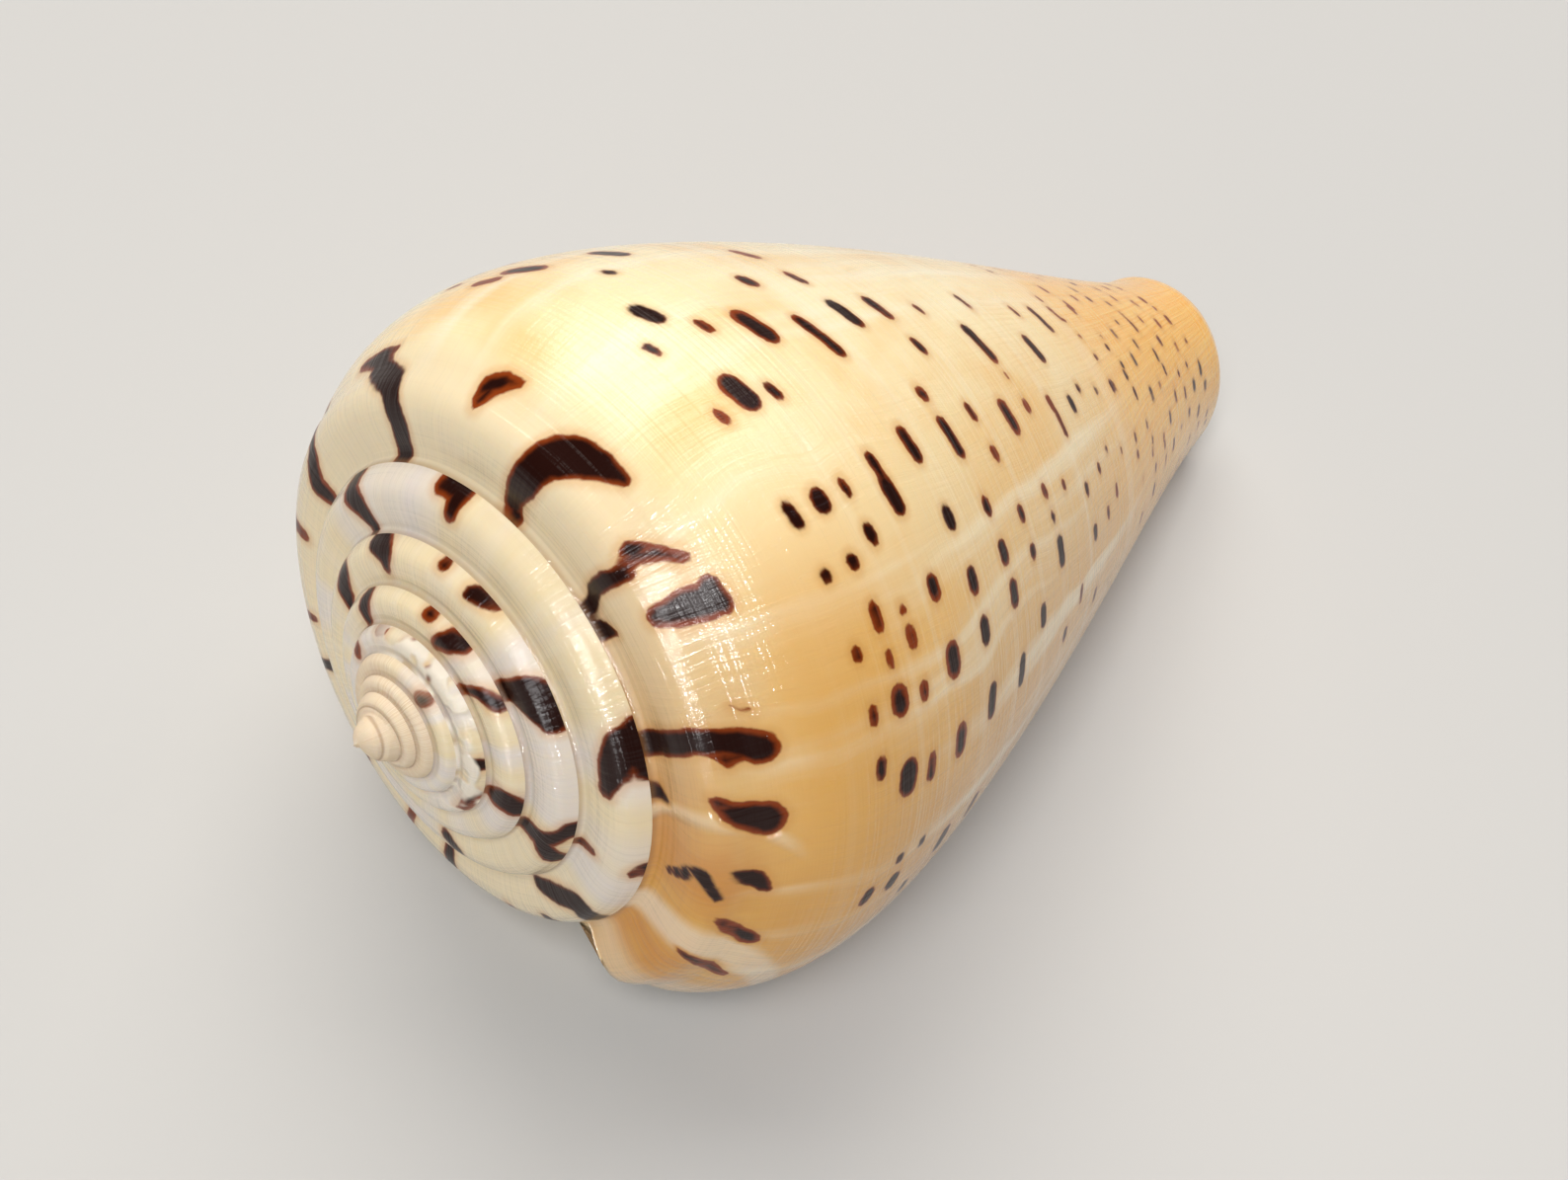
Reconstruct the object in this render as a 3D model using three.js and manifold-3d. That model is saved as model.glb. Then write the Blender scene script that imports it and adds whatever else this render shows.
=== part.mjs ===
// Beech cone shell, one piece of aragonite: a low pointed spire, a rounded shoulder, a straight-sided
// body whorl that narrows to the anterior end, and a long narrow aperture behind the outer lip.
// Millimetres, +Z up. The shell lies on its aperture side, on its outer lip, shoulder and anterior end.
import * as THREE from 'three';
import { mergeVertices } from 'three/addons/utils/BufferGeometryUtils.js';
import Module from 'manifold-3d';

// The coiled shell, about its own axis: z = 0 at the end of the suture, the apex up, growth in degrees
// counted from the outer lip backwards, so the lip is 0 and the last whorl starts at -360.
const shellLength = 100;
const sutureRadius = 28;
const whorlGain = 1.354;
const whorls = 8;
const spireRise = 12.5;
const apexRise = 2.2;
const apexSharpness = 12;

// The ramp of each whorl, between two sutures, as shares of the ramp's width
const rampSwell = 0.32;
const rampLean = 0.35;
const sutureStep = 0.07;
const rampShares = [0, 0.07, 0.3, 0.55, 0.8, 1];

// The side of the body whorl, as shares of the suture radius and of the way down to the anterior end
const shoulderSwell = 0.285;
const shoulderReach = 0.08;
const sideTaper = 0.91;
const sidePower = 1.305;
const anteriorFlare = 0.088;
const anteriorCurl = 0.8;
const columellaRadius = 0.318;
const columellaBlend = 0.08;
const endRound = 0.054;
const sideShares = [0.02, 0.05, 0.085, 0.13, 0.19, 0.27, 0.36, 0.46, 0.56, 0.66, 0.76, 0.85, 0.91, 0.946,
  0.965, 0.98, 0.991, 0.998];

// The aperture, a narrow space that winds inwards behind the lip
const lipThickness = 1.9;
const lipEdgeThickness = 1.2;
const lipThickening = 30;
const hollowStart = 8;
const hollowDepth = 248;
const hollowTop = 0.035;
const hollowEnd = 1.05;
const openDepth = 42;
const deepHollowEnd = 0.58;
const hollowRows = 12;
const leastHollow = 0.8;
const notchShare = 0.4;
const notchSize = [3, 7, 6];

const growthStep = 8;
const mergeDistance = 1e-3;
const lipTurn = 104;

// How the shell lies: the growth angle of the side that is down, the rise of the axis towards the
// apex, and the depth of the small worn flats that it rests on
const restTurn = 152.7;
const restLean = 12.6;
const restFlat = 0.3;

const material = new THREE.MeshStandardMaterial({ color: 0xe9d3a4, roughness: 0.25, metalness: 0 });

const apexHeight = spireRise + apexRise;
const anteriorHeight = apexHeight - shellLength;

// The suture line, where each whorl meets the next
function sutureRadiusAt(growth) {
  return sutureRadius * whorlGain ** (growth / 360);
}

function sutureHeightAt(growth) {
  const inward = Math.max(0, 1 - whorlGain ** (growth / 360));
  return spireRise * (1 - whorlGain ** (growth / 360)) + apexRise * inward ** apexSharpness;
}

// A point at a growth angle, radius and height. A right-handed cone winds clockwise seen from its apex.
function shellPoint(growth, radius, height) {
  const angle = THREE.MathUtils.degToRad(growth + lipTurn);
  return new THREE.Vector3(radius * Math.cos(angle), -radius * Math.sin(angle), height);
}

// The side of a whorl: it swells below the suture to the shoulder, then tapers to the anterior end,
// where the turns draw in to the columella
function coiledRadius(growth, share) {
  const swell = shoulderSwell * (1 - Math.exp(-share / shoulderReach));
  const taper = sideTaper * share ** sidePower - anteriorFlare * share ** 8;
  const curl = anteriorCurl * sutureRadius * (growth / 360) * share ** 2;
  const coiled = sutureRadiusAt(growth) * (1 + swell - taper) + curl;
  const columella = columellaRadius * sutureRadius * (1 - share / 2);
  const blend = columellaBlend * sutureRadius * Math.sqrt(share);
  return (coiled + columella + Math.hypot(coiled - columella, blend)) / 2;
}

function sideHeight(growth, share) {
  const start = sutureHeightAt(growth);
  return start + (anteriorHeight - start) * share;
}

// A point on the side, with the anterior end rounded over
function sidePoint(growth, share) {
  const over = Math.max(0, (share - 1 + endRound) / endRound);
  const radius = coiledRadius(growth, share) * Math.sqrt(1 - over * over);
  return shellPoint(growth, radius, sideHeight(growth, share));
}

// The ramp: a low step down from the suture of the whorl before, then a swell out to its own suture
function rampPoint(growth, share) {
  const inner = sutureRadiusAt(growth - 360);
  const outer = sutureRadiusAt(growth);
  const width = outer - inner;
  const swell = rampSwell * width * share * Math.sin(Math.PI * share);
  const step = share > 0 && share < 0.2 ? sutureStep * width : 0;
  const innerHeight = sutureHeightAt(growth - 360);
  const height = innerHeight + (sutureHeightAt(growth) - innerHeight) * share + swell - step;
  return shellPoint(growth, inner + width * share + rampLean * swell, height);
}

// One closed geometry from triangles of corner points, with equal corners merged. A triangle that
// has shrunk to a line at the apex or the anterior end is left out.
function closedGeometry(triangles) {
  const places = triangles.flat().flatMap((point) => point.toArray());
  const loose = new THREE.BufferGeometry();
  loose.setAttribute('position', new THREE.Float32BufferAttribute(places, 3));
  const geometry = mergeVertices(loose, mergeDistance);
  const corners = Array.from(geometry.getIndex().array);
  const kept = [];
  for (let i = 0; i < corners.length; i += 3) {
    const [a, b, c] = corners.slice(i, i + 3);
    if (a !== b && b !== c && c !== a) {
      kept.push(a, b, c);
    }
  }
  geometry.setIndex(kept);
  return geometry;
}

function addStrip(triangles, rowA, rowB) {
  for (let i = 0; i + 1 < rowA.length; i += 1) {
    triangles.push([rowA[i], rowB[i], rowB[i + 1]]);
    triangles.push([rowA[i], rowB[i + 1], rowA[i + 1]]);
  }
}

function addFan(triangles, centre, row) {
  for (let i = 0; i + 1 < row.length; i += 1) {
    triangles.push([centre, row[i], row[i + 1]]);
  }
}

// The shell with no hollow: the spire's ramps, the side of the last whorl, and the flat at the lip
function solidWhorls() {
  const triangles = [];
  const apex = new THREE.Vector3(0, 0, apexHeight);
  const tip = new THREE.Vector3(0, 0, anteriorHeight);
  const first = -360 * whorls;
  const rampRow = (growth) => rampShares.map((share) => rampPoint(growth, share));
  const sideRow = (growth) => [rampPoint(growth, 1), ...sideShares.map((share) => sidePoint(growth, share)), tip];
  for (let growth = first; growth < 0; growth += growthStep) {
    const next = growth + growthStep;
    addStrip(triangles, rampRow(growth), rampRow(next));
    if (growth < first + 360) {
      addFan(triangles, apex, [rampPoint(growth, 0), rampPoint(next, 0)].reverse());
    }
    if (growth >= -360) {
      addStrip(triangles, sideRow(growth), sideRow(next));
    }
  }
  addFan(triangles, apex, rampRow(first));
  const lipSide = sideRow(0);
  const innerSide = sideRow(-360);
  addStrip(triangles, lipSide, innerSide);
  addFan(triangles, innerSide[0], rampRow(0).reverse());
  return triangles;
}

// The space of the aperture, between the whorl before and the outer wall. Near the lip it runs out
// through the anterior end, and deeper in it ends higher up, where the wall meets the columella.
function hollowRow(growth) {
  const depth = Math.max(0, -growth);
  const wall = THREE.MathUtils.lerp(lipEdgeThickness, lipThickness, Math.min(1, depth / lipThickening));
  const closing = Math.max(0, depth - openDepth) / (hollowDepth - openDepth);
  const end = THREE.MathUtils.lerp(hollowEnd, deepHollowEnd, closing ** 0.6);
  const lift = growth > 0 ? growth / hollowStart : 0;
  const inner = [];
  const outer = [];
  for (let row = 0; row <= hollowRows; row += 1) {
    const share = THREE.MathUtils.lerp(hollowTop, end, row / hollowRows);
    const innerRadius = coiledRadius(growth - 360, share) + lift;
    const outerRadius = Math.max(coiledRadius(growth, share) - wall, innerRadius + leastHollow);
    inner.push(shellPoint(growth, innerRadius, sideHeight(growth - 360, share)));
    outer.push(shellPoint(growth, outerRadius, sideHeight(growth, share)));
  }
  return [...inner, ...outer.reverse()];
}

function hollowSpace() {
  const triangles = [];
  const loop = (growth) => {
    const row = hollowRow(growth);
    return [...row, row[0]];
  };
  const addEnd = (row, turned) => {
    const half = row.length / 2;
    const inner = row.slice(0, half);
    const outer = row.slice(half).reverse();
    addStrip(triangles, turned ? inner : outer, turned ? outer : inner);
  };
  for (let growth = -hollowDepth; growth < hollowStart; growth += growthStep) {
    addStrip(triangles, loop(growth + growthStep), loop(growth));
  }
  addEnd(hollowRow(hollowStart), false);
  addEnd(hollowRow(-hollowDepth), true);
  return triangles;
}

// Joining and cutting of closed solids
const library = await Module();
library.setup();

function toSolid(geometry) {
  const position = geometry.getAttribute('position');
  return new library.Manifold(new library.Mesh({
    numProp: 3,
    vertProperties: new Float32Array(position.array),
    triVerts: new Uint32Array(geometry.getIndex().array),
  }));
}

function toGeometry(solid) {
  const { vertProperties, triVerts } = solid.getMesh();
  const geometry = new THREE.BufferGeometry();
  geometry.setAttribute('position', new THREE.BufferAttribute(new Float32Array(vertProperties), 3));
  geometry.setIndex(new THREE.BufferAttribute(new Uint32Array(triVerts), 1));
  return geometry;
}

// The notch in the lip beside the suture, through which the animal's waste leaves
function posteriorNotch() {
  const geometry = new THREE.SphereGeometry(1, 16, 12);
  geometry.deleteAttribute('normal');
  geometry.deleteAttribute('uv');
  const [across, along, down] = notchSize;
  geometry.scale(across, along, down);
  geometry.rotateZ(-THREE.MathUtils.degToRad(lipTurn));
  const place = rampPoint(0, notchShare);
  geometry.translate(place.x, place.y, place.z);
  return mergeVertices(geometry, mergeDistance);
}

// The shell as it lies, its rubbed contact spots cut level, with its origin under the middle of its box
function lyingShell() {
  const whorlsSolid = toSolid(closedGeometry(solidWhorls()));
  const hollow = toSolid(closedGeometry(hollowSpace()));
  const notch = toSolid(posteriorNotch());
  const lying = toGeometry(whorlsSolid.subtract(hollow).subtract(notch));
  lying.rotateZ(THREE.MathUtils.degToRad(180 + restTurn));
  lying.rotateY(THREE.MathUtils.degToRad(restLean - 90));
  lying.computeBoundingBox();
  const { min, max } = lying.boundingBox;
  lying.translate(-(min.x + max.x) / 2, -(min.y + max.y) / 2, -min.z - restFlat);
  const ground = new THREE.BoxGeometry(2 * shellLength, 2 * shellLength, shellLength / 2);
  ground.deleteAttribute('normal');
  ground.deleteAttribute('uv');
  ground.translate(0, 0, -shellLength / 4);
  return toGeometry(toSolid(lying).subtract(toSolid(mergeVertices(ground))));
}

const shell = new THREE.Mesh(lyingShell(), material);
shell.name = 'shell';

const beechCone = new THREE.Group();
beechCone.add(shell);

export default beechCone;
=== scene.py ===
import math
import bpy
import numpy as np
from mathutils import Matrix, Quaternion, Vector


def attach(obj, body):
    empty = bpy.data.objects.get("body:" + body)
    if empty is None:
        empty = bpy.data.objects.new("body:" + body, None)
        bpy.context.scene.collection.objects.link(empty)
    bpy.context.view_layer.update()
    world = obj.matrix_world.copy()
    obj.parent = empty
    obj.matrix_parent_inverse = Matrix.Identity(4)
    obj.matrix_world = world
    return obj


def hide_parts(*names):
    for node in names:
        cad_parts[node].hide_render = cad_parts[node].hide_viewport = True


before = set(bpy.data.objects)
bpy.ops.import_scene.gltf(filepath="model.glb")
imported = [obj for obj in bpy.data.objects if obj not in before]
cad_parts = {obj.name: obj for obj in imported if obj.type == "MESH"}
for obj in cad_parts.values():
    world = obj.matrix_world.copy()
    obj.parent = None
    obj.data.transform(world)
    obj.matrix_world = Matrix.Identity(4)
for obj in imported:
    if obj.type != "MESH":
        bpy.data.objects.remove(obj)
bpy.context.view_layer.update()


# The shell is one piece of aragonite that the animal laid down as a coiling tube: a low spire of old
# whorls, and a last whorl that wraps all but their ramps. It is grown here by the same rule, with the
# growth angle counted back from the outer lip and every size in millimetres until it is laid down.
MM = 0.001
SHELL_LENGTH = 100.0
SUTURE_RADIUS = 28.0
WHORL_GAIN = 1.354
WHORLS = 9
SPIRE_RISE = 12.5
APEX_RISE = 2.2
APEX_SHARPNESS = 12.0

# Shares of the ramp's width, of the suture's radius or of the way down the side, and powers of them
RAMP_SWELL = 0.32
RAMP_LEAN = 0.35
RAMP_CROWDING = 1.3
SUTURE_STEP = 0.07
SHOULDER_SWELL = 0.285
SHOULDER_REACH = 0.08
SIDE_TAPER = 0.91
SIDE_POWER = 1.305
ANTERIOR_FLARE = 0.088
FLARE_POWER = 8.0
ANTERIOR_CURL = 0.8
COLUMELLA_RADIUS = 0.318
COLUMELLA_BLEND = 0.08
END_ROUND = 0.054

# The outer lip: its place and the reach of its thickening in degrees, its edge and wall in millimetres
LIP_TURN = 104.0
LIP_ROW = 0.5
LIP_ROUND = 0.4
LIP_EDGE = 1.0
LIP_THICKNESS = 1.9
LIP_THICKENING = 30.0

# The space of the aperture: degrees before and behind the lip, and shares of the way down the side
HOLLOW_START = 8.0
HOLLOW_DEPTH = 248.0
HOLLOW_TOP = 0.035
HOLLOW_END = 1.05
OPEN_DEPTH = 42.0
DEEP_HOLLOW_END = 0.58
CLOSING_POWER = 0.6
LEAST_HOLLOW = 0.8

# How the shell lies: the growth angle that is down, the rise of the axis and the depth of its worn flats
REST_TURN = 152.7
REST_LEAN = 12.6
REST_FLAT = 0.3

# Rows and columns of the grids, which are fine enough for the marks' edges
ROWS_PER_WHORL = 300
RAMP_COLUMNS = 10
SIDE_COLUMNS = 205
END_COLUMNS = 0.08
HOLLOW_STEP = 4.0
HOLLOW_COLUMNS = 40
MERGE_DISTANCE = 0.001
INDEX_MARGIN = 1e-4

MATH = "ShaderNodeMath"
PLUS = {"operation": "ADD"}
MINUS = {"operation": "SUBTRACT"}
TIMES = {"operation": "MULTIPLY"}
OVER = {"operation": "DIVIDE"}
SHARE_OF = {"operation": "DIVIDE", "use_clamp": True}
TIMES_PLUS = {"operation": "MULTIPLY_ADD"}
TO_POWER = {"operation": "POWER"}
ROOT = {"operation": "SQRT"}
POWER_OF_E = {"operation": "EXPONENT"}
SINE = {"operation": "SINE"}
COSINE = {"operation": "COSINE"}
LARGER = {"operation": "MAXIMUM"}
SMALLER = {"operation": "MINIMUM"}
BELOW = {"operation": "LESS_THAN"}
ABOVE = {"operation": "GREATER_THAN"}
WITHIN = {"operation": "COMPARE"}
UNSIGNED = {"operation": "ABSOLUTE"}
CORNER_VECTOR = {"data_type": "FLOAT_VECTOR", "domain": "CORNER"}
POINT_VALUE = {"data_type": "FLOAT", "domain": "POINT"}


def add(tree, kind, settings=None, sources=()):
    """Adds a node with its settings, feeds its inputs from sockets or values, returns its output."""
    node = tree.nodes.new(kind)
    for name, value in (settings or {}).items():
        setattr(node, name, value)
    inputs = [socket for socket in node.inputs if socket.enabled]
    names = [socket.name for socket in inputs]
    pairs = sources.items() if isinstance(sources, dict) else enumerate(sources)
    for key, source in pairs:
        socket = inputs[key if isinstance(key, int) else names.index(key)]
        if isinstance(source, bpy.types.NodeSocket):
            tree.links.new(source, socket)
        else:
            socket.default_value = source
    outputs = [socket for socket in node.outputs if socket.enabled]
    return outputs[0] if outputs else node


def suture_line(tree, growth, size):
    """Radius and height of the line where each whorl meets the next. It starts as a point at the apex."""
    turns = add(tree, MATH, OVER, (growth, 360.0))
    age = add(tree, MATH, {"operation": "ADD", "use_clamp": True}, (turns, float(WHORLS)))
    share = add(tree, MATH, TO_POWER, (size["Whorl gain"], turns))
    share = add(tree, MATH, TIMES, (share, add(tree, MATH, ROOT, (age,))))
    radius = add(tree, MATH, TIMES, (share, size["Suture radius"]))
    inward = add(tree, MATH, MINUS, (1.0, share))
    kept = add(tree, MATH, LARGER, (inward, 0.0))
    point = add(tree, MATH, TO_POWER, (kept, size["Apex sharpness"]))
    cone = add(tree, MATH, TIMES, (inward, size["Spire rise"]))
    height = add(tree, MATH, TIMES_PLUS, (point, size["Apex rise"], cone))
    return radius, height


def coiled_radius(tree, growth, share, size):
    """Radius of a whorl's side at a share of the way down: it swells to the shoulder, then draws in."""
    decay = add(tree, MATH, OVER, (share, -SHOULDER_REACH))
    decay = add(tree, MATH, POWER_OF_E, (decay,))
    swell = add(tree, MATH, TIMES_PLUS, (decay, -SHOULDER_SWELL, 1 + SHOULDER_SWELL))
    taper = add(tree, MATH, TO_POWER, (share, SIDE_POWER))
    tapered = add(tree, MATH, TIMES_PLUS, (taper, -SIDE_TAPER, swell))
    flare = add(tree, MATH, TO_POWER, (share, FLARE_POWER))
    profile = add(tree, MATH, TIMES_PLUS, (flare, ANTERIOR_FLARE, tapered))
    start, _ = suture_line(tree, growth, size)
    curl = add(tree, MATH, TIMES, (size["Suture radius"], ANTERIOR_CURL / 360))
    curl = add(tree, MATH, TIMES, (curl, growth))
    curl = add(tree, MATH, TIMES, (curl, share))
    curl = add(tree, MATH, TIMES, (curl, share))
    coiled = add(tree, MATH, TIMES_PLUS, (start, profile, curl))

    # The side never comes nearer the axis than the columella, and meets it in a soft corner.
    columella = add(tree, MATH, TIMES_PLUS, (share, -COLUMELLA_RADIUS / 2, COLUMELLA_RADIUS))
    columella = add(tree, MATH, TIMES, (columella, size["Suture radius"]))
    softness = add(tree, MATH, TIMES, (size["Suture radius"], COLUMELLA_BLEND))
    softness = add(tree, MATH, TO_POWER, (softness, 2.0))
    softness = add(tree, MATH, TIMES, (softness, share))
    apart = add(tree, MATH, MINUS, (coiled, columella))
    apart = add(tree, MATH, TIMES_PLUS, (apart, apart, softness))
    apart = add(tree, MATH, ROOT, (apart,))
    both = add(tree, MATH, PLUS, (coiled, columella))
    both = add(tree, MATH, PLUS, (both, apart))
    return add(tree, MATH, TIMES, (both, 0.5))


def side_height(tree, growth, share, size):
    """Height of a point of a whorl's side, from its suture down to the anterior end."""
    _, top = suture_line(tree, growth, size)
    apex = add(tree, MATH, PLUS, (size["Spire rise"], size["Apex rise"]))
    end = add(tree, MATH, MINUS, (apex, size["Shell length"]))
    drop = add(tree, MATH, MINUS, (end, top))
    return add(tree, MATH, TIMES_PLUS, (drop, share, top))


def side_surface(tree, growth, column, size):
    """Share of the way down, radius and height of a point of the side, with the end rounded over."""
    along = add(tree, MATH, OVER, (column, float(SIDE_COLUMNS)))
    straight = add(tree, MATH, SHARE_OF, (along, 1 - END_COLUMNS))
    straight = add(tree, MATH, TIMES, (straight, 1 - END_ROUND))
    bent = add(tree, MATH, MINUS, (along, 1 - END_COLUMNS))
    bent = add(tree, MATH, SHARE_OF, (bent, END_COLUMNS))
    bent = add(tree, MATH, TIMES, (bent, math.pi / 2))
    over = add(tree, MATH, SINE, (bent,))
    share = add(tree, MATH, TIMES_PLUS, (over, END_ROUND, straight))
    closing = add(tree, MATH, COSINE, (bent,))
    radius = add(tree, MATH, TIMES, (coiled_radius(tree, growth, share, size), closing))
    return share, radius, side_height(tree, growth, share, size)


def place_on_coil(tree, mesh, radius, growth, height, across, side):
    """Moves a grid's points onto the coil and keeps where each face lies. Side is 1 outside and -1 inside."""
    angle = add(tree, MATH, TIMES_PLUS, (growth, -math.pi / 180, -math.radians(LIP_TURN)))
    x = add(tree, MATH, TIMES, (radius, add(tree, MATH, COSINE, (angle,))))
    y = add(tree, MATH, TIMES, (radius, add(tree, MATH, SINE, (angle,))))
    place = add(tree, "ShaderNodeCombineXYZ", {}, (x, y, height))
    signed = add(tree, MATH, TIMES, (radius, side))
    coil = add(tree, "ShaderNodeCombineXYZ", {}, (growth, across, signed))
    stored = add(tree, "GeometryNodeStoreNamedAttribute", CORNER_VECTOR,
                 {"Geometry": mesh, "Name": "coil", "Value": coil})
    return add(tree, "GeometryNodeSetPosition", {}, {"Geometry": stored, "Position": place})


def grid_of(tree, rows, columns):
    """A grid with its row and column number as fields."""
    mesh = add(tree, "GeometryNodeMeshGrid", {}, {"Vertices X": rows, "Vertices Y": columns})
    index = add(tree, "GeometryNodeInputIndex")
    row = add(tree, MATH, OVER, (index, float(columns)))
    row = add(tree, MATH, PLUS, (row, INDEX_MARGIN))
    row = add(tree, MATH, {"operation": "FLOOR"}, (row,))
    column = add(tree, MATH, TIMES_PLUS, (row, -float(columns), index))
    row = add(tree, "GeometryNodeFieldOnDomain", POINT_VALUE, (row,))
    column = add(tree, "GeometryNodeFieldOnDomain", POINT_VALUE, (column,))
    return mesh, row, column


def spire_ramps(tree, size):
    """The ramp of every whorl between two sutures: a low channel, then a swell out to its own suture."""
    last_row = WHORLS * ROWS_PER_WHORL
    mesh, row, column = grid_of(tree, last_row + 2, RAMP_COLUMNS + 1)
    grown = add(tree, MATH, TIMES_PLUS, (row, 360 / ROWS_PER_WHORL, -360.0 * WHORLS))
    growth = add(tree, MATH, SMALLER, (grown, 0.0))
    kept = add(tree, MATH, BELOW, (row, last_row + 0.5))
    share = add(tree, MATH, TIMES, (column, kept))
    share = add(tree, MATH, OVER, (share, float(RAMP_COLUMNS)))
    share = add(tree, MATH, TO_POWER, (share, RAMP_CROWDING))
    before = add(tree, MATH, MINUS, (growth, 360.0))
    inner_radius, inner_height = suture_line(tree, before, size)
    outer_radius, outer_height = suture_line(tree, growth, size)
    width = add(tree, MATH, MINUS, (outer_radius, inner_radius))
    out = add(tree, MATH, TIMES, (share, width))
    wave = add(tree, MATH, TIMES, (share, math.pi))
    wave = add(tree, MATH, SINE, (wave,))
    swell = add(tree, MATH, TIMES, (out, wave))
    swell = add(tree, MATH, TIMES, (swell, RAMP_SWELL))
    fading = add(tree, MATH, TIMES, (share, -1 / SUTURE_STEP))
    fading = add(tree, MATH, POWER_OF_E, (fading,))
    channel = add(tree, MATH, TIMES, (out, fading))
    radius = add(tree, MATH, PLUS, (inner_radius, out))
    radius = add(tree, MATH, TIMES_PLUS, (swell, RAMP_LEAN, radius))
    fall = add(tree, MATH, MINUS, (outer_height, inner_height))
    height = add(tree, MATH, TIMES_PLUS, (fall, share, inner_height))
    height = add(tree, MATH, PLUS, (height, swell))
    height = add(tree, MATH, TIMES_PLUS, (channel, -math.e, height))
    across = add(tree, MATH, MINUS, (out, width))
    return place_on_coil(tree, mesh, radius, growth, height, across, 1.0)


def last_whorl(tree, size):
    """The side of the last whorl from its suture to the rounded anterior end, closed across the lip."""
    mesh, row, column = grid_of(tree, ROWS_PER_WHORL + 2, SIDE_COLUMNS + 1)
    kept = add(tree, MATH, BELOW, (row, ROWS_PER_WHORL + 0.5))
    row = add(tree, MATH, TIMES, (row, kept))
    growth = add(tree, MATH, TIMES_PLUS, (row, 360 / ROWS_PER_WHORL, -360.0))
    share, radius, height = side_surface(tree, growth, column, size)
    edge = add(tree, MATH, ABOVE, (growth, -LIP_ROW))
    rounding = add(tree, MATH, TIMES, (edge, share))
    radius = add(tree, MATH, TIMES_PLUS, (rounding, -LIP_ROUND, radius))
    across = add(tree, MATH, TIMES, (share, size["Shell length"]))
    return place_on_coil(tree, mesh, radius, growth, height, across, 1.0)


def aperture_space(tree, size):
    """The space behind the lip, between the whorl before and the outer wall. Deeper in it ends higher up."""
    steps = round((HOLLOW_START + HOLLOW_DEPTH) / HOLLOW_STEP)
    mesh, row, column = grid_of(tree, steps + 3, 2 * HOLLOW_COLUMNS + 3)
    grown = add(tree, MATH, TIMES_PLUS, (row, HOLLOW_STEP, -HOLLOW_DEPTH - HOLLOW_STEP))
    growth = add(tree, MATH, LARGER, (grown, -HOLLOW_DEPTH))
    growth = add(tree, MATH, SMALLER, (growth, HOLLOW_START))

    # The columns go down the inner wall and come back up the outer one. The end rows stay on the inner wall.
    open_row = add(tree, MATH, WITHIN, (grown, growth, HOLLOW_STEP / 2))
    back = add(tree, MATH, MINUS, (2 * HOLLOW_COLUMNS + 1.0, column))
    middle = 1.5 * HOLLOW_COLUMNS + 1
    back_side = add(tree, MATH, WITHIN, (column, middle, HOLLOW_COLUMNS / 2 + 0.2))
    outside = add(tree, MATH, TIMES, (back_side, open_row))
    folded = add(tree, MATH, SMALLER, (column, back))
    folded = add(tree, MATH, LARGER, (folded, 0.0))
    along = add(tree, MATH, OVER, (folded, float(HOLLOW_COLUMNS)))

    depth = add(tree, MATH, TIMES_PLUS, (growth, -1.0, -OPEN_DEPTH))
    depth = add(tree, MATH, SHARE_OF, (depth, HOLLOW_DEPTH - OPEN_DEPTH))
    closing = add(tree, MATH, TO_POWER, (depth, CLOSING_POWER))
    reach = add(tree, MATH, TIMES_PLUS, (closing, DEEP_HOLLOW_END - HOLLOW_END, HOLLOW_END - HOLLOW_TOP))
    share = add(tree, MATH, TIMES_PLUS, (along, reach, HOLLOW_TOP))
    before = add(tree, MATH, MINUS, (growth, 360.0))
    lift = add(tree, MATH, SHARE_OF, (growth, HOLLOW_START))
    inner_radius = add(tree, MATH, PLUS, (coiled_radius(tree, before, share, size), lift))
    inner_height = side_height(tree, before, share, size)
    thick = add(tree, MATH, SHARE_OF, (growth, -LIP_THICKENING))
    wall = add(tree, MATH, TIMES_PLUS, (thick, LIP_THICKNESS - LIP_EDGE, LIP_EDGE))
    outer_radius = add(tree, MATH, MINUS, (coiled_radius(tree, growth, share, size), wall))
    least = add(tree, MATH, PLUS, (inner_radius, LEAST_HOLLOW))
    outer_radius = add(tree, MATH, LARGER, (outer_radius, least))
    outer_height = side_height(tree, growth, share, size)
    wider = add(tree, MATH, MINUS, (outer_radius, inner_radius))
    lower = add(tree, MATH, MINUS, (outer_height, inner_height))
    radius = add(tree, MATH, TIMES_PLUS, (wider, outside, inner_radius))
    height = add(tree, MATH, TIMES_PLUS, (lower, outside, inner_height))
    across = add(tree, MATH, TIMES, (share, size["Shell length"]))
    space = place_on_coil(tree, mesh, radius, growth, height, across, -1.0)
    return add(tree, "GeometryNodeFlipFaces", {}, {"Mesh": space})


def closed(tree, meshes):
    """One closed solid from grids that meet along their edges."""
    joined = add(tree, "GeometryNodeJoinGeometry")
    for mesh in meshes:
        tree.links.new(mesh, joined.node.inputs[0])
    return add(tree, "GeometryNodeMergeByDistance", {}, {"Geometry": joined, "Distance": MERGE_DISTANCE})


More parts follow.
